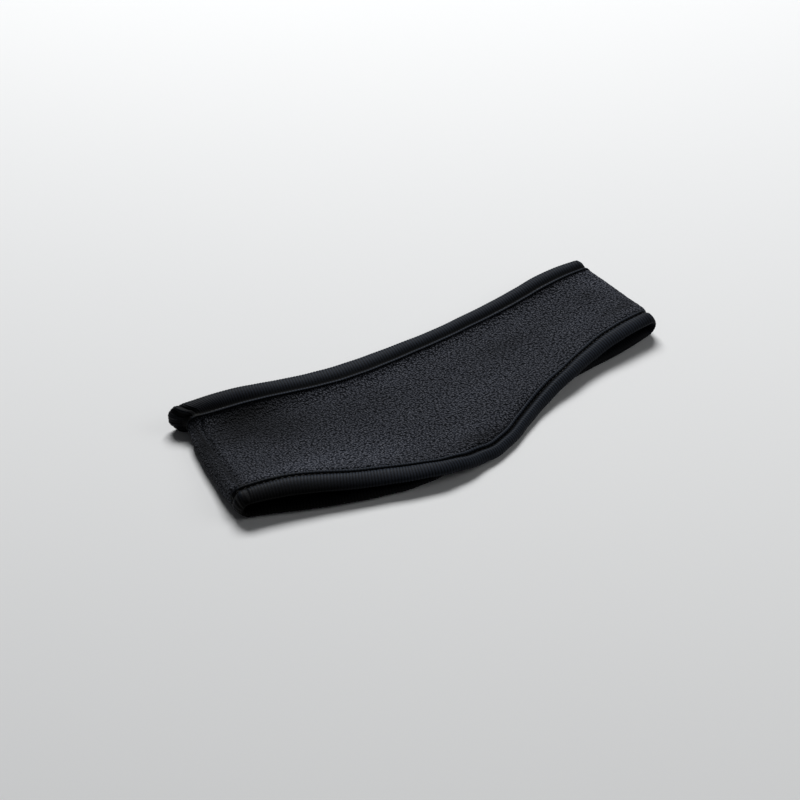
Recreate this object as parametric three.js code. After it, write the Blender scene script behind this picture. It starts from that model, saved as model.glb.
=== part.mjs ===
// Fleece headband: one loop of thick fleece, bound along both edges with knit tape,
// lying flat with its two layers folded onto each other. Millimetres, +Z up.
// The origin is on the surface it lies on, under the middle of its outline box.
// +X runs along the folded length from the centre back to the front of the head,
// +Y points to the crown edge, and -Y to the ear edge.
import * as THREE from 'three';

// Cloth, through its thickness
const FLEECE_THICKNESS = 2.2;
const TAPE_THICKNESS = 1.0;
const CLEARANCE = 0.3;
const SLOT_HALF = FLEECE_THICKNESS / 2 + CLEARANCE;
const BOUND_HALF = SLOT_HALF + TAPE_THICKNESS;

// Folded loop: the middle of the cloth at both ends, and the height of the lower layer
const BACK_END_X = -132.0;
const FRONT_END_X = 130.2;
const BACK_FOLD_DEPTH = 5.8;
const FRONT_FOLD_DEPTH = 5.4;
const UNDER_LIFT = BOUND_HALF;

// The bindings draw the folds in: this share of a fold's depth is lost at the edges,
// and the loss has died out at CORNER_REACH from the edge
const CORNER_DRAW = 0.3;
const CORNER_REACH = 22;

// The ear corner of the back fold is also set in, fading along the loop
const BACK_CORNER_INSET = 1.3;
const BACK_CORNER_FADE = 30;

// Middle of the outline box in the tables' frame, which goes over the origin
const OUTLINE_MIDDLE = new THREE.Vector3(-2.56, -13.61, 0);

// The back fold runs askew: this much along X for each millimetre along Y,
// and the skew has died out at SKEW_END_X
const BACK_SKEW = 0.142;
const SKEW_END_X = -40;

// The fleece sags between its two bindings, and dips along the seam at the centre back
const FLEECE_SAG = 1.2;
const SEAM_X = -124.5;
const SEAM_DEPTH = 0.9;
const SEAM_HALF_WIDTH = 2.2;

// Stations round the loop
const RUN_STEPS = 32;
const FOLD_STEPS = 9;

// Upper layer, a row for each section along X: lift is the height of the middle of the
// cloth, crownEdge and earEdge the outer edges of the bindings along Y, and crownTape
// and earTape how far each binding reaches in over the fleece.
const UPPER_ROWS = [
  { x: -134, lift: 12.3, crownEdge: 46.4, crownTape: 12.4, earEdge: -39.4, earTape: 10.6 },
  { x: -118, lift: 12.3, crownEdge: 44.6, crownTape: 13.2, earEdge: -43.0, earTape: 11.4 },
  { x: -100, lift: 11.9, crownEdge: 42.6, crownTape: 13.0, earEdge: -48.7, earTape: 11.8 },
  { x: -82, lift: 10.1, crownEdge: 40.3, crownTape: 12.4, earEdge: -55.8, earTape: 11.4 },
  { x: -64, lift: 8.3, crownEdge: 37.5, crownTape: 11.9, earEdge: -62.4, earTape: 10.8 },
  { x: -46, lift: 7.6, crownEdge: 34.1, crownTape: 11.3, earEdge: -68.6, earTape: 10.2 },
  { x: -28, lift: 7.6, crownEdge: 31.5, crownTape: 11.1, earEdge: -72.1, earTape: 9.9 },
  { x: -12, lift: 7.6, crownEdge: 30.3, crownTape: 10.9, earEdge: -71.5, earTape: 9.8 },
  { x: 6, lift: 7.6, crownEdge: 29.6, crownTape: 10.5, earEdge: -68.0, earTape: 9.6 },
  { x: 24, lift: 7.6, crownEdge: 29.4, crownTape: 9.9, earEdge: -59.8, earTape: 9.6 },
  { x: 44, lift: 7.6, crownEdge: 30.6, crownTape: 9.8, earEdge: -51.2, earTape: 9.7 },
  { x: 64, lift: 8.0, crownEdge: 32.0, crownTape: 9.8, earEdge: -45.4, earTape: 9.9 },
  { x: 84, lift: 9.4, crownEdge: 33.4, crownTape: 9.9, earEdge: -39.9, earTape: 10.2 },
  { x: 104, lift: 11.4, crownEdge: 34.4, crownTape: 9.9, earEdge: -37.0, earTape: 10.6 },
  { x: 126, lift: 12.0, crownEdge: 32.8, crownTape: 9.2, earEdge: -35.0, earTape: 10.0 },
];

// The upper layer's ear bulge lies out past the lower layer, and its edge droops there:
// drop is how far it comes down, and reach how far inside the edge that starts.
const DROOP_ROWS = [
  { x: -134, drop: 0.0, reach: 12 },
  { x: -46, drop: 0.0, reach: 12 },
  { x: -28, drop: 1.5, reach: 9 },
  { x: -12, drop: 4.2, reach: 14 },
  { x: 6, drop: 4.9, reach: 19 },
  { x: 24, drop: 4.9, reach: 17 },
  { x: 44, drop: 3.6, reach: 11 },
  { x: 64, drop: 1.3, reach: 9 },
  { x: 84, drop: 1.0, reach: 10 },
  { x: 104, drop: 0.0, reach: 12 },
  { x: 126, drop: 0.0, reach: 12 },
];

// Lower layer, which lies flat: its ear bulge lies further back than the upper one
const UNDER_ROWS = [
  { x: -134, crownEdge: 45.6, crownTape: 12.4, earEdge: -38.0, earTape: 10.6 },
  { x: -118, crownEdge: 43.6, crownTape: 13.2, earEdge: -44.2, earTape: 11.4 },
  { x: -100, crownEdge: 41.6, crownTape: 13.0, earEdge: -51.5, earTape: 11.6 },
  { x: -82, crownEdge: 39.2, crownTape: 12.4, earEdge: -58.1, earTape: 11.2 },
  { x: -64, crownEdge: 36.4, crownTape: 11.9, earEdge: -63.3, earTape: 10.8 },
  { x: -46, crownEdge: 33.0, crownTape: 11.3, earEdge: -66.4, earTape: 10.2 },
  { x: -28, crownEdge: 30.4, crownTape: 11.1, earEdge: -65.2, earTape: 9.9 },
  { x: -10, crownEdge: 29.0, crownTape: 10.9, earEdge: -60.4, earTape: 9.8 },
  { x: 10, crownEdge: 28.4, crownTape: 10.5, earEdge: -52.4, earTape: 9.6 },
  { x: 36, crownEdge: 29.0, crownTape: 9.8, earEdge: -43.8, earTape: 9.7 },
  { x: 64, crownEdge: 31.0, crownTape: 9.8, earEdge: -40.8, earTape: 9.9 },
  { x: 84, crownEdge: 32.4, crownTape: 9.9, earEdge: -38.8, earTape: 10.2 },
  { x: 104, crownEdge: 33.4, crownTape: 9.9, earEdge: -37.2, earTape: 10.6 },
  { x: 126, crownEdge: 32.4, crownTape: 9.2, earEdge: -33.4, earTape: 10.0 },
];

// Half of the binding's section from its nose to its inner edge, a row for each corner:
// inward is a share of the tape's reach, rise a share of half the bound thickness.
const BINDING_PROFILE = [
  { inward: 0.0, rise: 0.0 },
  { inward: 0.05, rise: 0.66 },
  { inward: 0.22, rise: 1.0 },
  { inward: 0.8, rise: 1.0 },
  { inward: 0.89, rise: 0.84 },
  { inward: 0.95, rise: 0.98 },
  { inward: 1.0, rise: 0.84 },
];
const SLOT_BOTTOM = 1.5;

// The bare fleece between the two tapes: it starts past each tape's inner edge, its
// section has a corner at each share of its width, and the sag comes in over SAG_SHARE
const BARE_MARGIN = 0.4;
const BARE_SHARES = [0.0, 0.07, 0.2, 0.4, 0.6, 0.8, 0.89, 0.95, 1.0];
const SAG_SHARE = 0.2;

// Smooth step from 0 to 1
function ease(t) {
  const c = Math.min(Math.max(t, 0), 1);
  return c * c * (3 - 2 * c);
}

// Value of one column at x, on a smooth curve through the rows
function columnAt(rows, column, x) {
  const slope = (i) => {
    const a = rows[Math.max(i - 1, 0)];
    const b = rows[Math.min(i + 1, rows.length - 1)];
    return (b[column] - a[column]) / (b.x - a.x);
  };
  let i = 0;
  while (i < rows.length - 2 && x > rows[i + 1].x) {
    i += 1;
  }
  const width = rows[i + 1].x - rows[i].x;
  const t = (x - rows[i].x) / width;
  const start = rows[i][column] + slope(i) * width * t;
  const end = rows[i + 1][column] - slope(i + 1) * width * (1 - t);
  return start + (end - start) * ease(t);
}

// Skew of the cross lines, full at the back fold and none past SKEW_END_X
function skewAt(x) {
  const foldStart = BACK_END_X + BACK_FOLD_DEPTH;
  return BACK_SKEW * (1 - ease((x - foldStart) / (SKEW_END_X - foldStart)));
}

// Where a skewed cross line at x meets an edge: its place along Y and the tape there
function edgeOnLine(rows, edge, x, skew) {
  let y = columnAt(rows, `${edge}Edge`, x);
  for (let pass = 0; pass < 4; pass += 1) {
    y = columnAt(rows, `${edge}Edge`, x + skew * y);
  }
  return { y, tape: columnAt(rows, `${edge}Tape`, x + skew * y) };
}

// One station on a flat run: where its cross line lies and what it holds. The layer says
// its height z, the seam's share there, and its droop towards the ear edge.
function runStation(rows, x, layer) {
  const skew = skewAt(x);
  const crown = edgeOnLine(rows, 'crown', x, skew);
  const ear = edgeOnLine(rows, 'ear', x, skew);
  return {
    ...layer,
    x,
    out: 0,
    skew,
    crownEdge: crown.y,
    crownTape: crown.tape,
    earEdge: ear.y,
    earTape: ear.tape,
  };
}

// Stations of a half-round fold that joins two run stations
function foldStations(from, to, depth) {
  const stations = [];
  for (let i = 1; i < FOLD_STEPS; i += 1) {
    const turn = (Math.PI * i) / FOLD_STEPS;
    const share = (1 - Math.cos(turn)) / 2;
    const mix = (key) => from[key] + (to[key] - from[key]) * share;
    const out = depth * Math.sin(turn);
    const drift = -from.skew * out;
    stations.push({
      x: mix('x'),
      out,
      z: mix('z'),
      skew: mix('skew'),
      seam: 0,
      drop: mix('drop'),
      dropReach: mix('dropReach'),
      crownEdge: mix('crownEdge') + drift,
      crownTape: mix('crownTape'),
      earEdge: mix('earEdge') + drift,
      earTape: mix('earTape'),
    });
  }
  return stations;
}

// Places of the stations along a run
function runPlaces() {
  const start = BACK_END_X + BACK_FOLD_DEPTH;
  const end = FRONT_END_X - FRONT_FOLD_DEPTH;
  const places = [];
  for (let i = 0; i <= RUN_STEPS; i += 1) {
    places.push(start + ((end - start) * i) / RUN_STEPS);
  }
  return places;
}

// All stations, once round the loop: upper run, front fold, lower run, back fold
function loopStations() {
  const places = runPlaces();
  const upper = places.map((x) => runStation(UPPER_ROWS, x, {
    z: columnAt(UPPER_ROWS, 'lift', x),
    seam: Math.exp(-(((x - SEAM_X) / SEAM_HALF_WIDTH) ** 2)),
    drop: columnAt(DROOP_ROWS, 'drop', x),
    dropReach: columnAt(DROOP_ROWS, 'reach', x),
  }));
  const flat = { z: UNDER_LIFT, seam: 0, drop: 0, dropReach: 1 };
  const under = places.map((x) => runStation(UNDER_ROWS, x, flat)).reverse();
  const front = foldStations(upper.at(-1), under[0], FRONT_FOLD_DEPTH);
  const back = foldStations(under.at(-1), upper[0], -BACK_FOLD_DEPTH);
  return [...upper, ...front, ...under, ...back];
}

const STATIONS = loopStations();

// Middle of the cloth on station i at y
function middleAt(i, y) {
  const station = STATIONS[(i + STATIONS.length) % STATIONS.length];
  const crownGap = station.crownEdge - y;
  const earGap = y - station.earEdge;
  const kept = 1 - CORNER_DRAW * (1 - ease(Math.min(crownGap, earGap) / CORNER_REACH));
  const fade = 1 - ease((station.x - BACK_END_X - BACK_FOLD_DEPTH) / BACK_CORNER_FADE);
  const inset = BACK_CORNER_INSET * fade * (1 - ease(earGap / CORNER_REACH));
  const x = station.x + station.skew * y + station.out * kept + inset;
  const drop = station.drop * (1 - ease(earGap / station.dropReach));
  return new THREE.Vector3(x, y, station.z - drop);
}

// Direction out of the loop on station i at y, square to the cloth
function outwardAt(i, y) {
  const along = middleAt(i + 1, y).sub(middleAt(i - 1, y));
  const across = middleAt(i, y + 1).sub(middleAt(i, y));
  return along.cross(across).normalize();
}

// Point on station i at y, raised out of the loop by rise
function surfacePoint(i, y, rise) {
  return middleAt(i, y).addScaledVector(outwardAt(i, y), rise);
}

// Distance along Y that gives the tape its width square to the slanting edge
function slantAt(i, edge) {
  const key = `${edge}Edge`;
  const a = STATIONS[(i + STATIONS.length - 1) % STATIONS.length];
  const b = STATIONS[(i + 1) % STATIONS.length];
  const run = Math.hypot(b.x + b.out - a.x - a.out, b.z - a.z);
  return Math.hypot(1, (b[key] - a[key]) / run);
}

// Closed mesh from rings of points, one ring for each station, joined round the loop.
// Each four points are split into two triangles from their first or their second point.
function loopMesh(rings, splitFrom) {
  const count = rings[0].length;
  const position = rings.flat().flatMap((p) => [p.x, p.y, p.z]);
  const index = [];
  for (let i = 0; i < rings.length; i += 1) {
    const next = (i + 1) % rings.length;
    for (let j = 0; j < count; j += 1) {
      const k = (j + 1) % count;
      const a = i * count + j;
      const b = i * count + k;
      const c = next * count + k;
      const d = next * count + j;
      index.push(...(splitFrom === 'first' ? [a, b, c, a, c, d] : [a, b, d, b, c, d]));
    }
  }
  const geometry = new THREE.BufferGeometry();
  geometry.setAttribute('position', new THREE.Float32BufferAttribute(position, 3));
  geometry.setIndex(index);
  geometry.computeVertexNormals();
  return geometry;
}

// Ring of the binding's section: round its outside, then back through the slot
function bindingRing(i, edge) {
  const station = STATIONS[i];
  const inwardSign = edge === 'crown' ? -1 : 1;
  const slant = slantAt(i, edge);
  const reach = station[`${edge}Tape`];
  const yAt = (inward) => station[`${edge}Edge`] + inwardSign * inward * slant;
  const place = (inward, rise) => surfacePoint(i, yAt(inward), rise);
  const outer = BINDING_PROFILE.map((row) => place(row.inward * reach, row.rise * BOUND_HALF));
  const inner = BINDING_PROFILE.slice(1).map((row) => place(row.inward * reach, -row.rise * BOUND_HALF));
  const slot = [
    place(reach, -SLOT_HALF),
    place(SLOT_BOTTOM, -SLOT_HALF),
    place(SLOT_BOTTOM, SLOT_HALF),
    place(reach, SLOT_HALF),
  ];
  const ring = [...outer.reverse(), ...inner, ...slot];
  return edge === 'crown' ? ring.reverse() : ring;
}

// Ring of the fleece's section: its outer face from crown to ear, then its inner face back
function fleeceRing(i) {
  const station = STATIONS[i];
  const crownSlant = slantAt(i, 'crown');
  const earSlant = slantAt(i, 'ear');
  const hidden = SLOT_BOTTOM + CLEARANCE;
  const crownEnd = station.crownEdge - hidden * crownSlant;
  const earEnd = station.earEdge + hidden * earSlant;
  const crownLine = station.crownEdge - (station.crownTape + BARE_MARGIN) * crownSlant;
  const earLine = station.earEdge + (station.earTape + BARE_MARGIN) * earSlant;
  const bareCorners = BARE_SHARES.map((share) => {
    const y = crownLine + (earLine - crownLine) * share;
    const loose = ease(share / SAG_SHARE) * ease((1 - share) / SAG_SHARE);
    const sag = -FLEECE_SAG * outwardAt(i, y).z;
    return { y, rise: loose * (sag - SEAM_DEPTH * station.seam) };
  });
  const corners = [{ y: crownEnd, rise: 0 }, ...bareCorners, { y: earEnd, rise: 0 }];
  const half = FLEECE_THICKNESS / 2;
  const outer = corners.map((corner) => surfacePoint(i, corner.y, corner.rise + half));
  const inner = corners.map((corner) => surfacePoint(i, corner.y, corner.rise - half));
  return [...outer, ...inner.reverse()];
}

const FLEECE_MATERIAL = new THREE.MeshStandardMaterial({
  color: 0x2a2b2f,
  roughness: 0.95,
  metalness: 0,
});
const TAPE_MATERIAL = new THREE.MeshStandardMaterial({
  color: 0x26272a,
  roughness: 0.8,
  metalness: 0,
});

function piece(name, rings, splitFrom, material) {
  const mesh = new THREE.Mesh(loopMesh(rings, splitFrom), material.clone());
  mesh.name = name;
  return mesh;
}

const headband = new THREE.Group();
headband.position.copy(OUTLINE_MIDDLE).negate();
const fleeceRings = STATIONS.map((_, i) => fleeceRing(i));
const crownRings = STATIONS.map((_, i) => bindingRing(i, 'crown'));
const earRings = STATIONS.map((_, i) => bindingRing(i, 'ear'));

// The tapes' rings run the other way round than the fleece's, so they are split from the
// other point, and the faces of their slots stay level with the faces of the fleece
headband.add(piece('fleece_band', fleeceRings, 'first', FLEECE_MATERIAL));
headband.add(piece('crown_binding', crownRings, 'second', TAPE_MATERIAL));
headband.add(piece('ear_binding', earRings, 'second', TAPE_MATERIAL));

export default headband;
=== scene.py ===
"""Fleece headband: a loop of anti-pill fleece, bound along both edges with ribbed knit tape.

It lies flat, with its two layers folded onto each other. The cloth is laid out on the loop
that the solids are made on, at finer steps, with its pile, ribs, creases and stitches.
Lengths in the tables are millimetres, in the pattern's own frame; LAID_AT moves the pattern
to where the part lies, and MM turns it into metres.
"""

import math

import bpy
import numpy as np
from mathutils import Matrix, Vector, noise


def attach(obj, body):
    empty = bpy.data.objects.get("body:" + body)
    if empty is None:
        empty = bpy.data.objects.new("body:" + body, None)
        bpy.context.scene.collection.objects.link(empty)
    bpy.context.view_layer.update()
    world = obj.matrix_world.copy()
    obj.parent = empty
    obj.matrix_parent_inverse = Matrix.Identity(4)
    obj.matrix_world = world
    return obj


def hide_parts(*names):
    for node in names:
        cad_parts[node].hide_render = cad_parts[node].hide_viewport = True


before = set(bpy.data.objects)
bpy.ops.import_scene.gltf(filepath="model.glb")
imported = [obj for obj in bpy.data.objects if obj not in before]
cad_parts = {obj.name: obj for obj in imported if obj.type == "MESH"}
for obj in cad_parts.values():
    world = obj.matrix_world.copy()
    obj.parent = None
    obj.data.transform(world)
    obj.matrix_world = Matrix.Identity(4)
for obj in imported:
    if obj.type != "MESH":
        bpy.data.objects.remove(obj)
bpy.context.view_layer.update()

MM = 0.001
LAID_AT = np.array([2.56, 13.61, 0.0])

# Cloth, through its thickness, the clearance round the fleece in the binding's slot, and the
# half thickness of the slot and of the bound edge
FLEECE_THICKNESS = 2.2
TAPE_THICKNESS = 1.0
CLEARANCE = 0.3
SLOT_HALF = FLEECE_THICKNESS / 2 + CLEARANCE
BOUND_HALF = SLOT_HALF + TAPE_THICKNESS

# Folded loop: the middle of the cloth at both ends, and the height of the lower layer
BACK_END_X = -132.0
FRONT_END_X = 130.2
BACK_FOLD_DEPTH = 5.8
FRONT_FOLD_DEPTH = 5.4
UNDER_LIFT = BOUND_HALF

# The bindings draw the folds in at their corners, by this share of a fold's depth and within
# this reach of an edge. The back fold's ear corner comes in further, which fades out along X
CORNER_DRAW = 0.3
CORNER_REACH = 22.0
BACK_CORNER_INSET = 1.3
BACK_CORNER_FADE = 30.0

# The back fold runs askew, and the skew dies out along the loop
BACK_SKEW = 0.142
SKEW_END_X = -40.0

# Steps round the loop where the cloth's place is worked out, steps along a bound edge, how
# far off the points lie that give an edge's slope and the way the cloth faces, and the rounds
# that find where a skewed cross line meets an edge
RUN_STEPS = 640
FOLD_STEPS = 48
EDGE_STEPS = 2400
EDGE_REACH = 3.0
FACING_REACH = 0.8
SKEW_ROUNDS = 4


def table(names, rows):
    """A table as one array for each named column."""
    return dict(zip(names.split(), np.array(rows, float).T))


# Upper layer, a row for each section along X: lift is the height of the middle of the
# cloth, the edges are the outer edges of the bindings along Y, and crown_tape and
# ear_tape how far each binding reaches in over the fleece
UPPER = table("x lift crown_edge crown_tape ear_edge ear_tape", [
    (-134, 12.3, 46.4, 12.2, -39.4, 11.4),
    (-118, 12.3, 44.6, 12.8, -43.0, 12.4),
    (-100, 11.9, 42.6, 12.2, -48.7, 12.8),
    (-82, 10.1, 40.3, 11.8, -55.8, 12.2),
    (-64, 8.3, 37.5, 12.0, -62.4, 12.2),
    (-46, 7.6, 34.1, 12.2, -68.6, 11.4),
    (-28, 7.6, 31.5, 12.3, -72.1, 9.6),
    (-12, 7.6, 30.3, 11.8, -71.5, 8.9),
    (6, 7.6, 29.6, 11.0, -68.0, 8.4),
    (24, 7.6, 29.4, 10.4, -59.8, 8.3),
    (44, 7.6, 30.6, 10.3, -51.2, 8.5),
    (64, 8.0, 32.0, 10.3, -45.4, 9.2),
    (84, 9.4, 33.4, 10.5, -39.9, 10.0),
    (104, 11.4, 34.4, 10.5, -37.0, 10.6),
    (126, 12.0, 32.8, 9.6, -35.0, 10.2),
])

# The upper layer's ear edge droops, most where it lies out past the lower layer: drop is how
# far it comes down, and drop_reach how far inside the edge that starts
DROOP = table("x drop drop_reach", [
    (-134, 1.2, 11),
    (-118, 1.8, 12),
    (-100, 2.0, 12),
    (-82, 1.7, 12),
    (-64, 0.8, 11),
    (-46, 0.3, 10),
    (-28, 1.6, 10),
    (-12, 4.2, 14),
    (6, 4.9, 19),
    (24, 4.9, 17),
    (44, 3.6, 11),
    (64, 1.3, 9),
    (84, 1.2, 10),
    (104, 0.8, 11),
    (126, 0.8, 11),
])

# The upper layer lies like a shallow dish, deepest where it is loose at the back: lean is
# how far the crown binding's inner edge tips down into it, sag how far the fleece falls beside
# it, and sag_reach the way over which it falls
DISH = table("x lean sag sag_reach", [
    (-134, 1.2, 3.6, 9),
    (-118, 2.2, 5.4, 12),
    (-100, 2.6, 6.0, 14),
    (-82, 1.9, 5.0, 13),
    (-64, 1.2, 4.0, 11),
    (-46, 1.0, 3.2, 9),
    (-12, 0.9, 2.8, 8),
    (44, 0.9, 2.8, 8),
    (84, 0.9, 2.8, 8),
    (126, 0.4, 2.0, 7),
])

# The lean is full this far in from the crown edge, and dies out over this share of the width,
# next to the ear edge. The sag dies out across the fleece by this power of the way left
LEAN_REACH = 14.0
LEAN_SHARE = 0.6
SAG_POWER = 0.8

# Between its tapes the lower layer's fleece sinks to the floor: how far, and over what way
UNDER_SAG = 1.1
UNDER_SAG_REACH = 12.0

# Beside the ear tape the upper layer's fleece swells up: how far, over what way, and how wide.
# It swells by a smaller share where it lies taut, in front of where the loose back starts
SWELL = 0.8
SWELL_RISE = 2.2
SWELL_REACH = 9.0
TAUT_SHARE = 0.7
LOOSE_START = -40.0
LOOSE_RUN = 50.0

# The tapes pull the fleece in at the back fold, and it pushes out between them at the front
# one: how far, and how far from the crown tape and the ear tape that is full. The pull is
# stronger towards the crown tape, and never under this share
BACK_PULL = 2.0
BACK_PULL_FROM_CROWN = 5.0
BACK_PULL_FROM_EAR = 10.0
BACK_PULL_LEAST = 0.5
FRONT_PUSH = 1.0
FRONT_PUSH_REACH = 4.0

# Seam at the centre back: where it crosses the band, the depth and half width of its dent, how
# far from the tapes the dent is full, and how much painted shade darkens the fleece in it
SEAM_X = -124.5
SEAM_DEPTH = 2.0
SEAM_HALF_WIDTH = 1.5
SEAM_REACH = 4.0
SEAM_PAINTED_SHADE = -0.6

# Painted light and shade on the upper layer's fleece, a row for each soft patch: its middle,
# its half length and half width, and how much lighter or darker it is painted, for the light and
# shade of slow swells and dips and the shadow under the crown lip at the back
PAINTED_PATCHES = table("x y long wide shade", [
    (-118, 27, 9, 4, 0.4),
    (-94, 26, 27, 7, -0.85),
    (-100, 16, 28, 11, -0.7),
    (-82, 4, 22, 11, -0.45),
    (-131, 6, 7, 34, -0.6),
    (-124, 14, 4, 7, -0.5),
    (-88, -31, 34, 8, 0.6),
    (-54, -43, 18, 7, 0.45),
    (-40, -2, 20, 12, -0.2),
    (-16, 10, 16, 6, 0.12),
    (-8, -48, 16, 5, 0.2),
    (-4, -59, 18, 4, -0.5),
    (16, -27, 22, 7, 0.22),
    (52, -2, 18, 7, -0.34),
    (90, 24, 14, 4, -0.3),
    (95, -11, 14, 7, 0.25),
    (112, 4, 8, 5, -0.22),
    (123, 14, 6, 14, 0.4),
    (118, -16, 14, 3, -0.4),
])

# Down the back fold from the crown edge: the end of the binding stands out, and the fleece
# next to it is drawn in
BACK_INSET = table("crown_gap inset", [
    (0, -3.4),
    (3, -2.2),
    (6, 0.8),
    (8, 3.2),
    (12, 4.0),
    (19, 2.8),
    (34, 1.6),
    (50, 1.2),
    (64, 0.9),
])

# Lower layer, which lies flat: its ear bulge lies further back than the upper one
UNDER = table("x crown_edge crown_tape ear_edge ear_tape", [
    (-134, 45.6, 12.4, -38.0, 10.6),
    (-118, 43.6, 13.2, -44.2, 11.4),
    (-100, 41.6, 13.0, -51.5, 11.6),
    (-82, 39.2, 12.4, -58.1, 11.2),
    (-64, 36.4, 11.9, -63.3, 10.8),
    (-46, 33.0, 11.3, -66.4, 10.2),
    (-28, 30.4, 11.1, -65.2, 9.9),
    (-10, 29.0, 10.9, -60.4, 9.8),
    (10, 28.4, 10.5, -52.4, 9.6),
    (36, 29.0, 9.8, -43.8, 9.7),
    (64, 31.0, 9.8, -40.8, 9.9),
    (84, 32.4, 9.9, -38.8, 10.2),
    (104, 33.4, 9.9, -37.2, 10.6),
    (126, 32.4, 9.2, -33.4, 10.0),
])

# Half of the binding's section, from the nose over the soft roll to the stitched groove:
# share of the way there, rise over the middle of the cloth at each edge, how much the ribs
# stand out, and the tone of the knit, which is painted shade: it darkens into the groove and on
# the ear roll's nose. The crown roll is fullest near its nose, the ear roll near its groove. The
# tones at the back carry more painted shade, most where the ear roll's nose turns under, and a
# painted highlight on the ear roll's shoulder. Along X they start at the first of the two values
# below, and hold in full from the second on
ROLL = table("share crown_rise ear_rise rib crown_tone crown_back_tone ear_tone ear_back_tone", [
    (0.0, 0.0, 0.0, 1.0, 1.0, 0.9, 0.6, 0.03),
    (0.012, 0.62, 0.52, 1.0, 1.0, 0.9, 0.6, 0.03),
    (0.045, 1.22, 1.02, 1.0, 1.0, 0.9, 0.6, 0.03),
    (0.1, 1.78, 1.54, 1.0, 1.0, 0.9, 0.65, 0.05),
    (0.18, 2.26, 2.02, 1.0, 1.0, 0.9, 0.75, 0.1),
    (0.27, 2.52, 2.42, 1.0, 1.0, 0.9, 0.85, 0.2),
    (0.37, 2.6, 2.74, 1.0, 1.0, 0.85, 1.0, 0.3),
    (0.48, 2.54, 2.98, 1.0, 1.0, 0.85, 1.0, 0.6),
    (0.59, 2.32, 3.1, 1.0, 0.9, 0.75, 1.0, 0.9),
    (0.69, 2.0, 3.06, 1.0, 0.75, 0.6, 1.0, 1.2),
    (0.79, 1.5, 2.74, 0.9, 0.4, 0.35, 1.0, 1.25),
    (0.88, 0.96, 2.0, 0.7, 0.15, 0.15, 0.5, 0.5),
    (0.95, 0.62, 1.1, 0.4, 0.05, 0.05, 0.1, 0.1),
])
BACK_SHADE_START = -40.0
BACK_SHADE_FULL = -100.0

# From the groove up the tape's free lip to its inner edge, in millimetres before that edge.
# The stitches lie in the second row, the bed of the groove. The tone column is painted shade in
# the groove and a painted highlight on the lip's crest
LIP = table("before rise rib tone", [
    (2.2, 0.52, 0.2, 0.05),
    (1.9, 0.54, 0.1, 0.05),
    (1.6, 1.14, 0.3, 0.2),
    (1.3, 1.6, 0.5, 0.9),
    (0.75, 1.8, 0.5, 1.3),
    (0.25, 1.72, 0.4, 1.2),
    (0.0, 1.4, 0.2, 0.7),
])
GROOVE_BEFORE = LIP["before"][0]
STITCH_BEFORE = LIP["before"][1]
STITCH_RISE = LIP["rise"][1]

# The slot that holds the fleece, which the stitches pinch, from the inner edge, and where it
# ends, in from the binding's nose. No light gets in, so its knit is dark
SLOT = table("before rise", [
    (0.0, 0.96),
    (0.9, 0.56),
    (1.7, 0.24),
])
SLOT_BOTTOM = 1.5
SLOT_TONE = 0.2

# The binding's inner side has every second corner of the outer one, and lies flatter
LINING_SHARE = 0.76

# Creases across the bindings where they turn round the back fold: how far past the middle
# of the fold towards the upper layer, half width, and the share of the fullness they take.
# Painted shade darkens the knit in them: its tone is that fullness to the power below
CREASES = {
    "crown": table("along width depth", [
        (10.0, 1.4, 0.45),
        (5.0, 2.0, 0.45),
        (0.0, 1.6, 0.4),
        (-4.5, 2.0, 0.4),
    ]),
    "ear": table("along width depth", [
        (8.0, 1.4, 0.22),
        (2.0, 1.8, 0.3),
        (-4.0, 1.6, 0.3),
    ]),
}
CREASE_SHADE_POWER = 3

# Share of its fullness that the roll loses at the middle of each fold, and the lip at both
BACK_SQUEEZE = 0.2
FRONT_SQUEEZE = 0.55
LIP_SQUEEZE = 0.4

# The tape is sewn a little unevenly: how much its reach and its fullness waver, and over
# what lengths
REACH_WAVER = 0.22
REACH_WAVE = 26.0
PUFF_WAVER = 0.07
PUFF_WAVE = 18.0
PUFF_SEED = 5

# Painted shade darkens the knit towards both folds: the share of its tone that it loses
# there, and how far along X that reaches
BACK_FOLD_SHADE = 0.56
BACK_FOLD_SHADE_REACH = 36.0
FRONT_FOLD_SHADE = 0.4
FRONT_FOLD_SHADE_REACH = 9.0

# The share of its tone that the lower layer's knit keeps under painted shade, where the upper layer
# covers it
UNDER_PAINTED_SHADE = 0.3

# Ribs of the knit tape, across its length. Real ones are under a millimetre apart, and these
# are as coarse as they need to be to show. They rise and fall about RIB_LEVEL of their height,
# so that they leave the roll as thick. The grain on them, about half a millimetre, stands for
# the knit's loops
RIB_PITCH = 1.6
RIB_SAMPLES = 5
RIB_HEIGHT = 0.26
RIB_LEVEL = 0.6
GRAIN_SIZE = 5 / 11
GRAIN_BUMP = 0.2

# Stitches in the groove, with thread a little thicker than real, so that they show. The middle
# of a stitch stands off its bed by the first share of the thread's radius, and its ends dive
# into the tape by the second. The thread's twist is as coarse as it needs to be to show
STITCH_PITCH = 3.0
STITCH_LENGTH = 2.5
STITCH_PROUD = 0.4
STITCH_DIVE = 3.0
THREAD_RADIUS = 0.2
THREAD_SIDES = 6
THREAD_STEPS = 5
TWIST_SIZE = 0.25

# Fleece between the tapes: how far it tucks in under their lips, its half thickness where
# the stitches pinch it, and its grid's steps along and columns across, finer on the outer face
TUCK = 0.5
PINCHED_HALF = 0.2
FINE_STEP = 0.6
PLAIN_STEP = 1.15
OUTER_COLUMNS = 116
INNER_COLUMNS = 18

# Pile, as raised tufts: their height and spacing, how steep they are, their share of the
# height, with ragged ends for the rest, and how much finer those are. The pile's roots lie
# this far down in the cloth, and further by the next value under the tapes' lips, and it
# stands up fully this far from them
PILE_HEIGHT = 0.55
PEBBLE_SIZE = 1.5
TUFT_STEEPNESS = 1.25
TUFT_SHARE = 0.72
RAGGED_FINENESS = 2.3
PILE_ROOT = 0.15
PILE_PRESSED = 0.3
PILE_GRIP = 1.3
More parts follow.
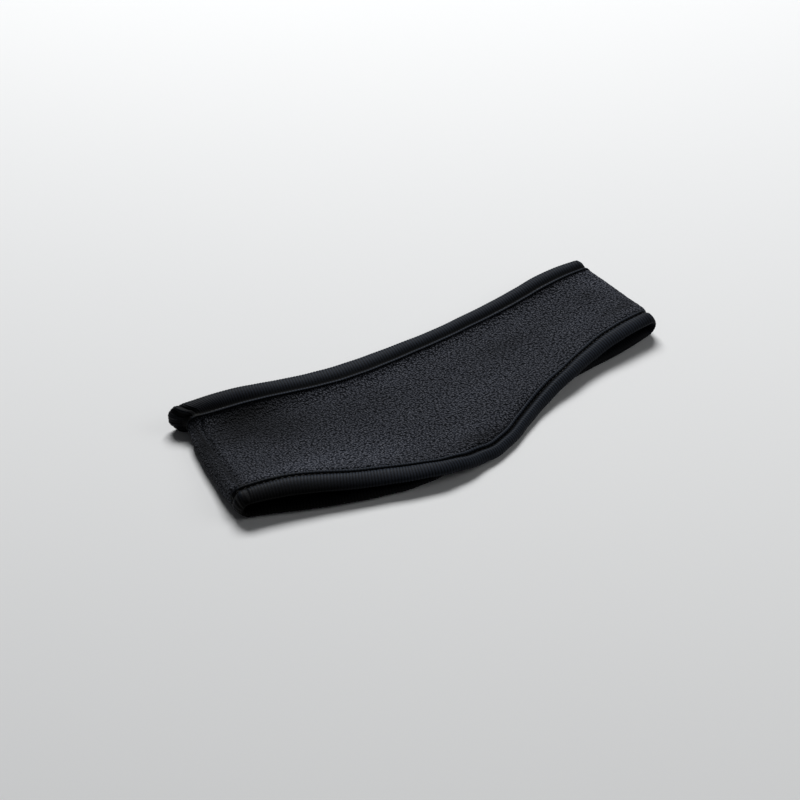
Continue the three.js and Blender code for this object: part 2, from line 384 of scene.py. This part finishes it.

# Pile, as seen: the curls, how far and over what size they wander from even spacing, how high
# they stand, and the size of the tips, painted light against the pits' painted shade, and their
# share of the look. Real curls are finer, and these are as coarse as they need to be to show
CURL_SIZE = 1.15
CURL_WANDER = 1.0
WANDER_SIZE = 5 / 3
CURL_BUMP = 1.3
TIP_SIZE = 0.8
TIP_SHARE = 0.9

# Pale paper: half the sheet's width, and the size of the faint clouds in its tone
FLOOR_HALF = 3000.0
CLOUD_SIZE = 500.0


def ease(t):
    """Smooth step from 0 to 1."""
    c = np.clip(t, 0, 1)
    return c * c * (3 - 2 * c)


def at(rows, name, x):
    """Value of one column where the first one is x, on a smooth curve through the rows."""
    xs, ys = next(iter(rows.values())), rows[name]
    number = np.arange(len(xs))
    before = np.maximum(number - 1, 0)
    after = np.minimum(number + 1, len(xs) - 1)
    slopes = (ys[after] - ys[before]) / (xs[after] - xs[before])
    i = np.clip(np.searchsorted(xs, x) - 1, 0, len(xs) - 2)
    width = xs[i + 1] - xs[i]
    t = (x - xs[i]) / width
    start = ys[i] + slopes[i] * width * t
    end = ys[i + 1] - slopes[i + 1] * width * (1 - t)
    return start + (end - start) * ease(t)


def run_stations(rows, x, lift, droops):
    """Stations on a flat run, whose cross lines are skewed towards the back fold."""
    fold_start = BACK_END_X + BACK_FOLD_DEPTH
    skew = BACK_SKEW * (1 - ease((x - fold_start) / (SKEW_END_X - fold_start)))
    made = {"x": x, "out": np.zeros_like(x), "lift": lift, "skew": skew}
    for edge in ("crown", "ear"):
        y = at(rows, edge + "_edge", x)
        for _ in range(SKEW_ROUNDS):
            y = at(rows, edge + "_edge", x + skew * y)
        made[edge + "_edge"] = y
        made[edge + "_tape"] = at(rows, edge + "_tape", x + skew * y)
    made["drop"] = at(DROOP, "drop", x) * droops
    made["drop_reach"] = at(DROOP, "drop_reach", x)
    made["lean"] = at(DISH, "lean", x) * droops
    return made


def fold_stations(start, end, depth):
    """Stations of a half-round fold that joins two runs."""
    turn = np.pi * np.arange(1, FOLD_STEPS) / FOLD_STEPS
    share = (1 - np.cos(turn)) / 2
    made = {key: start[key] + (end[key] - start[key]) * share for key in start}
    made["out"] = depth * np.sin(turn)
    for edge in ("crown_edge", "ear_edge"):
        made[edge] = made[edge] - start["skew"] * made["out"]
    return made


def picked(run, place):
    """The station at one place in a run, or the stations of a slice."""
    return {key: run[key][place] for key in run}


def loop_stations():
    """Once round the loop: upper run, front fold, lower run, back fold, and the start again."""
    x = np.linspace(BACK_END_X + BACK_FOLD_DEPTH, FRONT_END_X - FRONT_FOLD_DEPTH, RUN_STEPS + 1)
    upper = run_stations(UPPER, x, at(UPPER, "lift", x), droops=1)
    under = run_stations(UNDER, x[::-1], np.full_like(x, UNDER_LIFT), droops=0)
    front = fold_stations(picked(upper, -1), picked(under, 0), FRONT_FOLD_DEPTH)
    back = fold_stations(picked(under, -1), picked(upper, 0), -BACK_FOLD_DEPTH)
    parts = [upper, front, under, back, picked(upper, slice(0, 1))]
    return {key: np.concatenate([part[key] for part in parts]) for key in upper}


LOOP = loop_stations()
ALONG = np.concatenate([[0], np.cumsum(np.hypot(
    np.diff(LOOP["x"] + LOOP["out"]), np.diff(LOOP["lift"])))])
LOOP_LENGTH = ALONG[-1]
UNDER_START = ALONG[RUN_STEPS + FOLD_STEPS]
UNDER_END = ALONG[2 * RUN_STEPS + FOLD_STEPS]


def on_loop(name, a):
    """Value of a station's column at the length a along the loop."""
    return np.interp(np.mod(a, LOOP_LENGTH), ALONG, LOOP[name])


def middle(a, y):
    """Middle of the cloth at the length a along the loop and at y across it."""
    crown_gap = on_loop("crown_edge", a) - y
    ear_gap = y - on_loop("ear_edge", a)
    x = on_loop("x", a)
    kept = 1 - CORNER_DRAW * (1 - ease(np.minimum(crown_gap, ear_gap) / CORNER_REACH))
    fade = 1 - ease((x - BACK_END_X - BACK_FOLD_DEPTH) / BACK_CORNER_FADE)
    drawn = at(BACK_INSET, "inset", np.clip(crown_gap, 0, BACK_INSET["crown_gap"][-1]))
    inset = fade * (BACK_CORNER_INSET * (1 - ease(ear_gap / CORNER_REACH)) + drawn)
    x = x + on_loop("skew", a) * y + on_loop("out", a) * kept + inset
    drop = on_loop("drop", a) * (1 - ease(ear_gap / on_loop("drop_reach", a)))
    across = LEAN_SHARE * (crown_gap + ear_gap)
    lean = on_loop("lean", a) * ease(crown_gap / LEAN_REACH) * ease(ear_gap / across)
    return np.stack([x, y, on_loop("lift", a) - drop - lean], axis=-1)


def outward(a, y):
    """Direction out of the loop, square to the cloth."""
    along = middle(a + FACING_REACH, y) - middle(a - FACING_REACH, y)
    across = middle(a, y + FACING_REACH) - middle(a, y - FACING_REACH)
    square = np.cross(along, across)
    return square / np.linalg.norm(square, axis=-1, keepdims=True)


def cloth_point(a, y, rise):
    """Point of the cloth raised out of the loop by rise."""
    a, y, rise = np.broadcast_arrays(a, y, rise)
    return middle(a, y) + outward(a, y) * rise[..., None]


def over_floor(points):
    """The points, with those under the floor pressed up onto it."""
    points[..., 2] = np.maximum(points[..., 2], 0)
    return points


def ripple(a, y, size, seed):
    """Slow unevenness of sewn cloth, from -1 to 1, over lengths of about size."""
    turn = 2 * np.pi * a / LOOP_LENGTH
    radius = LOOP_LENGTH / (2 * np.pi * size)
    points = np.stack(np.broadcast_arrays(
        radius * np.cos(turn) + seed, radius * np.sin(turn), y / size), axis=-1)
    flat = [noise.noise(Vector(p)) for p in points.reshape(-1, 3)]
    return np.array(flat).reshape(points.shape[:-1])


def new_piece(name, points, faces, attributes=()):
    """A mesh piece from points in millimetres and their quads, with smooth faces."""
    mesh = bpy.data.meshes.new(name)
    mesh.vertices.add(len(points))
    mesh.vertices.foreach_set("co", ((points + LAID_AT) * MM).astype(np.float32).ravel())
    mesh.loops.add(faces.size)
    mesh.loops.foreach_set("vertex_index", faces.astype(np.int32).ravel())
    mesh.polygons.add(len(faces))
    mesh.polygons.foreach_set("loop_start", np.arange(0, faces.size, 4, dtype=np.int32))
    mesh.polygons.foreach_set("use_smooth", np.ones(len(faces), bool))
    for label, values in attributes:
        layer = mesh.attributes.new(label, "FLOAT_VECTOR", "POINT")
        layer.data.foreach_set("vector", values.astype(np.float32).ravel())
    mesh.update(calc_edges=True)
    mesh.validate()
    piece = bpy.data.objects.new(name, mesh)
    bpy.context.scene.collection.objects.link(piece)
    return piece


def grid_faces(rings, count, closed=True):
    """Quads that join rings of count points, each to the next, and the last to the first."""
    i = np.arange(rings if closed else rings - 1)[:, None]
    j = np.arange(count)[None, :]
    after, beside = (i + 1) % rings, (j + 1) % count
    quads = np.stack(np.broadcast_arrays(
        i * count + j, i * count + beside, after * count + beside, after * count + j), axis=-1)
    return quads.reshape(-1, 4)


def edge_slope(edge, a):
    """Slope of one bound edge at the length a along the loop."""
    ahead = on_loop(edge + "_edge", a + EDGE_REACH)
    behind = on_loop(edge + "_edge", a - EDGE_REACH)
    return (ahead - behind) / (2 * EDGE_REACH)


def edge_line(edge, step):
    """Places evenly spaced along one bound edge, the edge's angle there, and its length."""
    a = np.linspace(0, LOOP_LENGTH, EDGE_STEPS)
    line = middle(a, on_loop(edge + "_edge", a))
    run = np.concatenate([[0], np.cumsum(np.linalg.norm(np.diff(line, axis=0), axis=1))])
    count = int(round(run[-1] / step))
    places = np.interp(np.arange(count) * run[-1] / count, run, a)
    return places, np.arctan(edge_slope(edge, places)), run[-1]


def tape_point(edge, places, angle, inward, rise):
    """Point of a binding: inward from its edge, square to it, and raised by rise."""
    side = 1 if edge == "ear" else -1
    a = places[:, None] - side * np.sin(angle)[:, None] * inward
    y = on_loop(edge + "_edge", places)[:, None] + side * np.cos(angle)[:, None] * inward
    return cloth_point(a, y, rise)


def crumple(edge, places):
    """How much of the binding's fullness its creases at the back fold leave, up to 1."""
    fold_middle = (UNDER_END + LOOP_LENGTH) / 2
    beyond = np.mod(places - fold_middle + LOOP_LENGTH / 2, LOOP_LENGTH) - LOOP_LENGTH / 2
    left = np.ones_like(places)
    for along, width, depth in zip(*(CREASES[edge][key] for key in ("along", "width", "depth"))):
        left *= 1 - depth * np.exp(-(((beyond - along) / width) ** 2))
    return left


def binding(name, edge, seed):
    """One knit tape folded over an edge, as a closed strip with a slot for the fleece."""
    places, angle, length = edge_line(edge, RIB_PITCH / RIB_SAMPLES)
    count = len(places) // RIB_SAMPLES * RIB_SAMPLES
    keep = np.linspace(0, len(places) - 1, count).round().astype(int)
    places, angle = places[keep], angle[keep]
    reach = on_loop(edge + "_tape", places) + REACH_WAVER * ripple(places, 0.0, REACH_WAVE, seed)
    reach = reach[:, None]
    crumpled = crumple(edge, places)
    out, x = on_loop("out", places), on_loop("x", places)
    folded = np.abs(out) / BACK_FOLD_DEPTH
    squeezed = 1 - folded * np.where(out > 0, FRONT_SQUEEZE, BACK_SQUEEZE)
    lip_rise = LIP["rise"] * (1 - LIP_SQUEEZE * folded)[:, None]
    # Painted shade of the knit, kept in closed: darker towards both folds
    closed = 1 - BACK_FOLD_SHADE * np.exp(-(((x - BACK_END_X) / BACK_FOLD_SHADE_REACH) ** 2))
    closed *= 1 - FRONT_FOLD_SHADE * np.exp(-(((x - FRONT_END_X) / FRONT_FOLD_SHADE_REACH) ** 2))
    # Painted shade on the lower layer's knit, under the upper one
    under = (places > UNDER_START) & (places < UNDER_END)
    closed = closed * np.where(under, UNDER_PAINTED_SHADE, 1.0)
    puff = 1 + PUFF_WAVER * ripple(places, 0.0, PUFF_WAVE, seed + PUFF_SEED)
    puff = (puff * squeezed * crumpled)[:, None]
    outer_in = np.concatenate([
        ROLL["share"] * (reach - GROOVE_BEFORE), reach - LIP["before"]], axis=1)
    outer_rise = np.concatenate([ROLL[edge + "_rise"] * puff, lip_rise], axis=1)
    wave = np.abs(np.sin(np.pi * np.arange(count) / RIB_SAMPLES))[:, None]
    rib = RIB_HEIGHT * (wave - RIB_LEVEL)
    stands = np.concatenate([ROLL["rib"], LIP["rib"]])
    at_nose = np.arange(len(stands)) == 0
    outer_in = outer_in - rib * stands * at_nose
    outer_rise = outer_rise + rib * stands * ~at_nose
    inner_in, inner_rise = outer_in[:, 1::2], -LINING_SHARE * outer_rise[:, 1::2]
    bottom = np.full((count, 1), SLOT_BOTTOM)
    slot_in = np.concatenate([reach - SLOT["before"], bottom], axis=1)
    slot_rise = np.broadcast_to(np.append(SLOT["rise"], SLOT["rise"][-1]), slot_in.shape)
    inward = np.concatenate([outer_in[:, ::-1], inner_in, slot_in, slot_in[:, ::-1]], axis=1)
    rise = np.concatenate([outer_rise[:, ::-1], inner_rise, -slot_rise, slot_rise[:, ::-1]], axis=1)
    points = over_floor(tape_point(edge, places, angle, inward, rise))
    around = np.concatenate([
        [0], np.cumsum(np.linalg.norm(np.diff(points[0], axis=0), axis=1))])
    # Painted shade and highlight of the roll, turning to those of the back along X
    to_back = ease((BACK_SHADE_START - x) / (BACK_SHADE_START - BACK_SHADE_FULL))[:, None]
    roll_tone = ROLL[edge + "_tone"] * (1 - to_back) + ROLL[edge + "_back_tone"] * to_back
    lip_tone = np.broadcast_to(LIP["tone"], (count, len(LIP["tone"])))
    outer_tone = np.concatenate([roll_tone, lip_tone], axis=1)
    slot_tone = np.full(slot_in.shape, SLOT_TONE)
    # The knit's tone: painted shade in the grooves and slot, painted highlight on lips and shoulder
    tone = np.concatenate([
        outer_tone[:, ::-1], outer_tone[:, 1::2], slot_tone, slot_tone], axis=1)
    # The creases' painted shade darkens the tone by what fullness they leave
    marks = np.stack(np.broadcast_arrays(
        np.arange(count)[:, None] * RIB_PITCH / RIB_SAMPLES, around[None, :],
        (closed * crumpled ** CREASE_SHADE_POWER)[:, None] * tone), axis=-1)
    faces = grid_faces(count, inward.shape[1])
    if edge == "crown":
        faces = faces[:, ::-1]
    piece = new_piece(name, points.reshape(-1, 3), faces, [("cloth", marks.reshape(-1, 3))])
    return piece, length


def stitches(name, edge):
    """Thread stitches in both grooves of a binding, joined into one mesh."""
    places, angle, _ = edge_line(edge, STITCH_PITCH)
    count = len(places)
    side = 1 if edge == "ear" else -1
    swing = np.linspace(-0.5, 0.5, THREAD_STEPS)
    a = places[:, None] + swing * STITCH_LENGTH * LOOP_LENGTH / count / STITCH_PITCH
    turn = 2 * np.pi * np.arange(THREAD_SIDES) / THREAD_SIDES
    inward = (on_loop(edge + "_tape", a) - STITCH_BEFORE)[..., None] + THREAD_RADIUS * np.cos(turn)
    slant = angle[:, None, None]
    where = a[..., None] - side * np.sin(slant) * inward
    y = on_loop(edge + "_edge", a)[..., None] + side * np.cos(slant) * inward
    bow = THREAD_RADIUS * (STITCH_PROUD - STITCH_DIVE * (2 * swing) ** 4)
    # The six-sided strand, with two quads on each end
    start_cap = np.array([(3, 2, 1, 0), (5, 4, 3, 0)])
    end_cap = start_cap[:, ::-1] + (THREAD_STEPS - 1) * THREAD_SIDES
    tube = grid_faces(THREAD_STEPS, THREAD_SIDES, closed=False)
    strand = np.concatenate([tube, start_cap, end_cap])
    strand_points = THREAD_STEPS * THREAD_SIDES
    made, faces, first = [], [], 0
    for face in (1, -1):
        bed = STITCH_RISE if face > 0 else LINING_SHARE * STITCH_RISE
        rise = face * (bed + bow[None, :, None] + THREAD_RADIUS * np.sin(turn))
        made.append(over_floor(cloth_point(where, y, rise)).reshape(-1, 3))
        outer_side = strand if side * face > 0 else strand[:, ::-1]
        for _ in range(count):
            faces.append(outer_side + first)
            first += strand_points
    return new_piece(name, np.concatenate(made), np.concatenate(faces))


def pile(points):
    """Height of the pile at each point, from 0 in a pit to 1 on a tuft."""
    heights = np.empty(len(points))
    for k, p in enumerate(points / PEBBLE_SIZE):
        place = Vector(p)
        nearest = noise.voronoi(place)[0][0]
        tuft = 1 - min(1.0, nearest * TUFT_STEEPNESS) ** 2
        ragged = 0.5 + 0.5 * noise.noise(place * RAGGED_FINENESS)
        heights[k] = TUFT_SHARE * tuft + (1 - TUFT_SHARE) * ragged
    return heights


def slack(a, crown_far, ear_far, up):
    """How far the fleece stands off its straight line between the tapes."""
    x = on_loop("x", a)
    way_left = 1 - np.clip(crown_far / (crown_far + ear_far), 0, 1)
    loose = TAUT_SHARE + (1 - TAUT_SHARE) * ease((LOOSE_START - x) / LOOSE_RUN)
    fall = 1 - (1 - np.clip(crown_far / at(DISH, "sag_reach", x), 0, 1)) ** 2
    drop = at(DISH, "sag", x) * fall * way_left ** SAG_POWER
    swell = SWELL * ease(ear_far / SWELL_RISE) * np.exp(-((ear_far / SWELL_REACH) ** 2)) * loose
    upper = swell - drop
    lower = UNDER_SAG * ease(crown_far / UNDER_SAG_REACH) * ease(ear_far / UNDER_SAG_REACH)
    pull = BACK_PULL * ease(crown_far / BACK_PULL_FROM_CROWN) * ease(ear_far / BACK_PULL_FROM_EAR)
    pull = pull * (BACK_PULL_LEAST + way_left)
    push = FRONT_PUSH * ease(crown_far / FRONT_PUSH_REACH) * ease(ear_far / FRONT_PUSH_REACH)
    at_fold = 1 - np.abs(up)
    return np.where(up > 0, upper * up, lower * -up) + np.where(x < 0, -pull, push) * at_fold


def painted_patch_shade(points):
    """Painted light and shade on the fleece at each point, about 1: in the seam and in patches."""
    x, y = points[..., 0], points[..., 1]
    seam_x = SEAM_X + BACK_SKEW * y
    shade = 1 + SEAM_PAINTED_SHADE * np.exp(-(((x - seam_x) / SEAM_HALF_WIDTH) ** 2))
    for patch_x, patch_y, long, wide, change in zip(*PAINTED_PATCHES.values()):
        away = ((x - patch_x) / long) ** 2 + ((y - patch_y) / wide) ** 2
        shade *= 1 + change * np.exp(-away)
    return shade


def fleece():
    """The fleece loop: its piled outer face, and its inner face, joined inside the tapes."""
    plain = np.arange(UNDER_START, UNDER_END, PLAIN_STEP)
    fine = np.arange(UNDER_END, LOOP_LENGTH + UNDER_START - FINE_STEP / 2, FINE_STEP)
    a = np.concatenate([plain, fine])[:, None]
    hidden = SLOT_BOTTOM + CLEARANCE
    lines = {}
    for edge, side in (("crown", -1), ("ear", 1)):
        slant = np.hypot(1, edge_slope(edge, a))
        line = on_loop(edge + "_edge", a)
        lines[edge + "_end"] = line + side * hidden * slant
        reach = on_loop(edge + "_tape", a)
        lines[edge + "_stitch"] = line + side * (reach - STITCH_BEFORE) * slant
        lines[edge + "_line"] = line + side * (reach - TUCK) * slant
    half = FLEECE_THICKNESS / 2

    def face(columns):
        share = np.linspace(0, 1, columns)[None, :]
        return lines["crown_line"] + (lines["ear_line"] - lines["crown_line"]) * share

    def offset(y):
        up = outward(*np.broadcast_arrays(a, y))[..., 2]
        crown_far, ear_far = lines["crown_line"] - y, y - lines["ear_line"]
        seam = np.exp(-(((on_loop("x", a) - SEAM_X) / SEAM_HALF_WIDTH) ** 2))
        held = ease(crown_far / SEAM_REACH) * ease(ear_far / SEAM_REACH)
        return slack(a, crown_far, ear_far, up) - SEAM_DEPTH * seam * held * (up > 0)

    outer_y, inner_y = face(OUTER_COLUMNS), face(INNER_COLUMNS)
    base = cloth_point(a, outer_y, half + offset(outer_y))
    tufts = pile(base.reshape(-1, 3)).reshape(outer_y.shape)
    grip = ease((lines["crown_line"] - outer_y) / PILE_GRIP)
    grip = grip * ease((outer_y - lines["ear_line"]) / PILE_GRIP)
    pressed = PILE_ROOT + PILE_PRESSED * (1 - grip)
    outer = cloth_point(a, outer_y, half - pressed + offset(outer_y) + PILE_HEIGHT * tufts * grip)
    inner = cloth_point(a, inner_y, -half + offset(inner_y))
    pinched = {(edge, side): cloth_point(a, lines[edge + "_end"], side * PINCHED_HALF)
               for edge in ("crown", "ear") for side in (1, -1)}
    stitched = {(edge, side): cloth_point(a, lines[edge + "_stitch"], side * PINCHED_HALF)
                for edge in ("crown", "ear") for side in (1, -1)}
    points = over_floor(np.concatenate([
        pinched["crown", 1], stitched["crown", 1], outer, stitched["ear", 1], pinched["ear", 1],
        pinched["ear", -1], stitched["ear", -1], inner[:, ::-1], stitched["crown", -1],
        pinched["crown", -1]], axis=1))
    faces = grid_faces(len(a), points.shape[1])
    ends = (lines["crown_end"], lines["crown_stitch"], lines["ear_stitch"], lines["ear_end"])
    across = np.concatenate([
        ends[0], ends[1], outer_y, ends[2], ends[3],
        ends[3], ends[2], inner_y[:, ::-1], ends[1], ends[0]], axis=1)
    marks = np.stack(np.broadcast_arrays(a, across, painted_patch_shade(points)), axis=-1)
    return new_piece("fleece_loop", points.reshape(-1, 3), faces, [("cloth", marks.reshape(-1, 3))])


def linear(colour):
    """sRGB hex to linear RGBA."""
    parts = [int(colour[i:i + 2], 16) / 255 for i in (1, 3, 5)]
    return [c / 12.92 if c <= 0.04045 else ((c + 0.055) / 1.055) ** 2.4 for c in parts] + [1.0]


def add(tree, kind, links=(), **settings):
    """Adds a node with its settings, and links its inputs: (input, node, output)."""
    node = tree.nodes.new(kind)
    for key, value in settings.items():
        if key in node.bl_rna.properties:
            setattr(node, key, value)
        else:
            node.inputs[key.replace("_", " ")].default_value = value
    for target, source, output in links:
        tree.links.new(source.outputs[output], node.inputs[target])
    return node


def new_material(name):
    """An empty node material with its output and shader."""
    material = bpy.data.materials.new(name)
    material.use_nodes = True
    tree = material.node_tree
    shader = tree.nodes["Principled BSDF"]
    return material, tree, shader


def fleece_material():
    # Anti-pill polyester fleece, brushed and sheared: dull black curls. Their colour is painted
    # light on their tips and painted shade in the pits between them, for the pile's relief, and the
    # cloth attribute scales it by painted light and shade in patches and in the seam
    material, tree, shader = new_material("anti_pill_fleece")
    mark = add(tree, "ShaderNodeAttribute", attribute_name="cloth")
    wander = add(tree, "ShaderNodeTexNoise", [("Vector", mark, "Vector")],
                 Scale=1 / WANDER_SIZE, Detail=1.0)
    place = add(tree, "ShaderNodeVectorMath", [(0, wander, "Color"), (2, mark, "Vector")],
                operation="MULTIPLY_ADD")
    place.inputs[1].default_value = (CURL_WANDER, CURL_WANDER, 0.0)
    curls = add(tree, "ShaderNodeTexVoronoi", [("Vector", place, "Vector")],
                voronoi_dimensions="2D", feature="SMOOTH_F1", Scale=1 / CURL_SIZE,
                Smoothness=0.6, Randomness=0.9)
    tips = add(tree, "ShaderNodeTexNoise", [("Vector", mark, "Vector")],
               noise_dimensions="2D", Scale=1 / TIP_SIZE, Detail=1.0)
    part = add(tree, "ShaderNodeMath", [(0, tips, "Fac")], operation="MULTIPLY")
    part.inputs[1].default_value = TIP_SHARE
    depth = add(tree, "ShaderNodeMath", [(0, curls, "Distance"), (1, part, "Value")],
                operation="SUBTRACT")
    level = add(tree, "ShaderNodeMath", [(0, depth, "Value")], operation="ADD")
    level.inputs[1].default_value = TIP_SHARE / 2
    # The ramp paints light on the curls' tips and shade in the pits between them
    shade = add(tree, "ShaderNodeValToRGB", [("Fac", level, "Value")])
    shade.color_ramp.elements[0].color = linear("#575960")
    shade.color_ramp.elements[1].color = linear("#060910")
    shade.color_ramp.elements[0].position = 0.08
    shade.color_ramp.elements[1].position = 0.68
    shade.color_ramp.elements.new(0.36).color = linear("#2e3139")
    # Painted light and shade of the patches and the seam scale the colour
    painted_shade_channel = add(tree, "ShaderNodeSeparateXYZ", [("Vector", mark, "Vector")])
    colour = add(tree, "ShaderNodeVectorMath",
                 [("Vector", shade, "Color"), ("Scale", painted_shade_channel, "Z")], operation="SCALE")
    tree.links.new(colour.outputs["Vector"], shader.inputs["Base Color"])
    bump = add(tree, "ShaderNodeBump", [("Height", depth, "Value")],
               Strength=1.0, Distance=CURL_BUMP * MM, invert=True)
    tree.links.new(bump.outputs["Normal"], shader.inputs["Normal"])
    shader.inputs["Roughness"].default_value = 0.95
    shader.inputs["IOR"].default_value = 1.5
    shader.inputs["Specular IOR Level"].default_value = 0.1
    shader.inputs["Sheen Weight"].default_value = 0.05
    shader.inputs["Sheen Roughness"].default_value = 0.6
    shader.inputs["Sheen Tint"].default_value = linear("#c8ccd4")
    return material


def tape_material():
    # Ribbed knit binding of polyester and elastane: dense, slightly glossy ribs. Their colour is a
    # painted highlight along their backs and painted shade in the valleys between them, and the
    # cloth attribute's tone scales it by the knit's painted shade and highlight
    material, tree, shader = new_material("ribbed_knit_tape")
    mark = add(tree, "ShaderNodeAttribute", attribute_name="cloth")
    grain = add(tree, "ShaderNodeTexNoise", [("Vector", mark, "Vector")],
                Scale=1 / GRAIN_SIZE, Detail=3.0, Roughness=0.6)
    run = add(tree, "ShaderNodeSeparateXYZ", [("Vector", mark, "Vector")])
    turn = add(tree, "ShaderNodeMath", [(0, run, "X")], operation="MULTIPLY")
    turn.inputs[1].default_value = math.pi / RIB_PITCH
    wave = add(tree, "ShaderNodeMath", [(0, turn, "Value")], operation="SINE")
    back = add(tree, "ShaderNodeMath", [(0, wave, "Value")], operation="ABSOLUTE")
    rib_shade_and_grain = add(tree, "ShaderNodeMath", [(0, back, "Value"), (1, grain, "Fac")],
                operation="MULTIPLY")
    # Painted highlight on the ribs' backs, painted shade in their valleys
    shade = add(tree, "ShaderNodeValToRGB", [("Fac", rib_shade_and_grain, "Value")])
    shade.color_ramp.elements[0].color = linear("#08090b")
    shade.color_ramp.elements[1].color = linear("#292f39")
    shade.color_ramp.elements[0].position = 0.05
    shade.color_ramp.elements[1].position = 0.55
    colour = add(tree, "ShaderNodeVectorMath",
                 [("Vector", shade, "Color"), ("Scale", run, "Z")], operation="SCALE")
    tree.links.new(colour.outputs["Vector"], shader.inputs["Base Color"])
    bump = add(tree, "ShaderNodeBump", [("Height", grain, "Fac")],
               Strength=0.5, Distance=GRAIN_BUMP * MM)
    tree.links.new(bump.outputs["Normal"], shader.inputs["Normal"])
    shader.inputs["Roughness"].default_value = 0.54
    shader.inputs["IOR"].default_value = 1.5
    shader.inputs["Specular IOR Level"].default_value = 0.07
    return material


def thread_material():
    # Spun polyester sewing thread, dyed black: short dark strands that catch a little more
    # light than the groove they lie in, with a faint twist
    material, tree, shader = new_material("polyester_thread")
    place = add(tree, "ShaderNodeTexCoord")
    twist = add(tree, "ShaderNodeTexNoise", [("Vector", place, "Object")],
                Scale=1 / (TWIST_SIZE * MM), Detail=1.0)
    shade = add(tree, "ShaderNodeValToRGB", [("Fac", twist, "Fac")])
    shade.color_ramp.elements[0].color = linear("#08090a")
    shade.color_ramp.elements[1].color = linear("#141517")
    tree.links.new(shade.outputs["Color"], shader.inputs["Base Color"])
    shader.inputs["Roughness"].default_value = 0.55
    shader.inputs["IOR"].default_value = 1.55
    return material


def floor_material():
    # Uncoated pale paper under the band: an even, faintly cool light grey that takes soft
    # shadows and gives back no shine
    material, tree, shader = new_material("pale_paper")
    place = add(tree, "ShaderNodeTexCoord")
    tone = add(tree, "ShaderNodeTexNoise", [("Vector", place, "Object")],
               Scale=1 / (CLOUD_SIZE * MM))
    shade = add(tree, "ShaderNodeValToRGB", [("Fac", tone, "Fac")])
    shade.color_ramp.elements[0].color = linear("#e6e7e8")
    shade.color_ramp.elements[1].color = linear("#e9eaea")
    tree.links.new(shade.outputs["Color"], shader.inputs["Base Color"])
    shader.inputs["Roughness"].default_value = 0.9
    shader.inputs["Specular IOR Level"].default_value = 0.1
    return material


def dress(piece, material, node=None):
    """Finishes a piece: its material, its body and the node that it stands for."""
    piece.data.materials.append(material)
    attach(piece, "root")
    if node:
        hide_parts(node)
    return piece


fleece_loop = dress(fleece(), fleece_material(), "fleece_band")
knit = tape_material()
thread = thread_material()
crown_tape, crown_length = binding("crown_tape", "crown", seed=3.0)
ear_tape, ear_length = binding("ear_tape", "ear", seed=11.0)
dress(crown_tape, knit, "crown_binding")
dress(ear_tape, knit, "ear_binding")
crown_stitches = dress(stitches("crown_stitches", "crown"), thread)
ear_stitches = dress(stitches("ear_stitches", "ear"), thread)


def set_floor():
    """A plain pale floor, larger than the view."""
    half = FLOOR_HALF * MM
    corners = [(-half, -half, 0), (half, -half, 0), (half, half, 0), (-half, half, 0)]
    mesh = bpy.data.meshes.new("floor")
    mesh.from_pydata(corners, [], [(0, 1, 2, 3)])
    floor = bpy.data.objects.new("floor", mesh)
    bpy.context.scene.collection.objects.link(floor)
    floor.data.materials.append(floor_material())


def softbox(name, place, aim, wide, tall, power, colour):
    """A softbox at place that faces aim."""
    light = bpy.data.lights.new(name, "AREA")
    light.shape = "RECTANGLE"
    light.size = wide
    light.size_y = tall
    light.energy = power
    light.color = linear(colour)[:3]
    lamp = bpy.data.objects.new(name, light)
    lamp.location = place
    lamp.rotation_mode = "QUATERNION"
    lamp.rotation_quaternion = (Vector(aim) - Vector(place)).to_track_quat("-Z", "Y")
    bpy.context.scene.collection.objects.link(lamp)


# Camera: turned about the vertical and raised above the horizon, its distance in metres from
# the point on the floor that it is aimed at, and its lens and sensor in millimetres
VIEW_TURN = math.radians(-34.5)
VIEW_RISE = math.radians(38.0)
VIEW_DISTANCE = 1.1
VIEW_AIM = Vector((-0.014073, 0.011377, 0.0))
LENS = 95.0
SENSOR = 36.0


def set_camera():
    """The photograph's view of the band."""
    back = Vector((math.sin(VIEW_TURN) * math.cos(VIEW_RISE),
                   -math.cos(VIEW_TURN) * math.cos(VIEW_RISE), math.sin(VIEW_RISE)))
    data = bpy.data.cameras.new("camera")
    data.lens = LENS
    data.sensor_width = SENSOR
    camera = bpy.data.objects.new("camera", data)
    camera.location = VIEW_AIM + back * VIEW_DISTANCE
    camera.rotation_mode = "QUATERNION"
    camera.rotation_quaternion = (-back).to_track_quat("-Z", "Y")
    bpy.context.scene.collection.objects.link(camera)
    bpy.context.scene.camera = camera


# Studio lights: turn from straight behind the band to the right, rise above the floor, in
# degrees, then distance, width and height in metres, and watts
STUDIO = [
    ("key", -6, 50, 2.0, 1.2, 0.67, 44.0),
    ("side", 92, 35, 1.4, 0.9, 0.7, 2.6),
]
SURROUND_STRENGTH = 0.055


def set_light():
    """Soft studio light: a wide strip behind the band, a weak side light, a pale surround."""
    right = Vector((math.cos(VIEW_TURN), math.sin(VIEW_TURN), 0))
    ahead = Vector((-math.sin(VIEW_TURN), math.cos(VIEW_TURN), 0))
    for name, turn, rise, distance, wide, tall, power in STUDIO:
        turn, rise = math.radians(turn), math.radians(rise)
        level = (ahead * math.cos(turn) + right * math.sin(turn)) * math.cos(rise)
        place = (level + Vector((0, 0, math.sin(rise)))) * distance
        softbox(name, place, (0, 0, 0), wide, tall, power, "#ffffff")
    world = bpy.data.worlds.new("surround")
    world.use_nodes = True
    background = world.node_tree.nodes["Background"]
    background.inputs["Color"].default_value = linear("#dfe2e6")
    background.inputs["Strength"].default_value = SURROUND_STRENGTH
    bpy.context.scene.world = world
    bpy.context.scene.view_settings.view_transform = "Standard"


set_floor()
set_camera()
set_light()
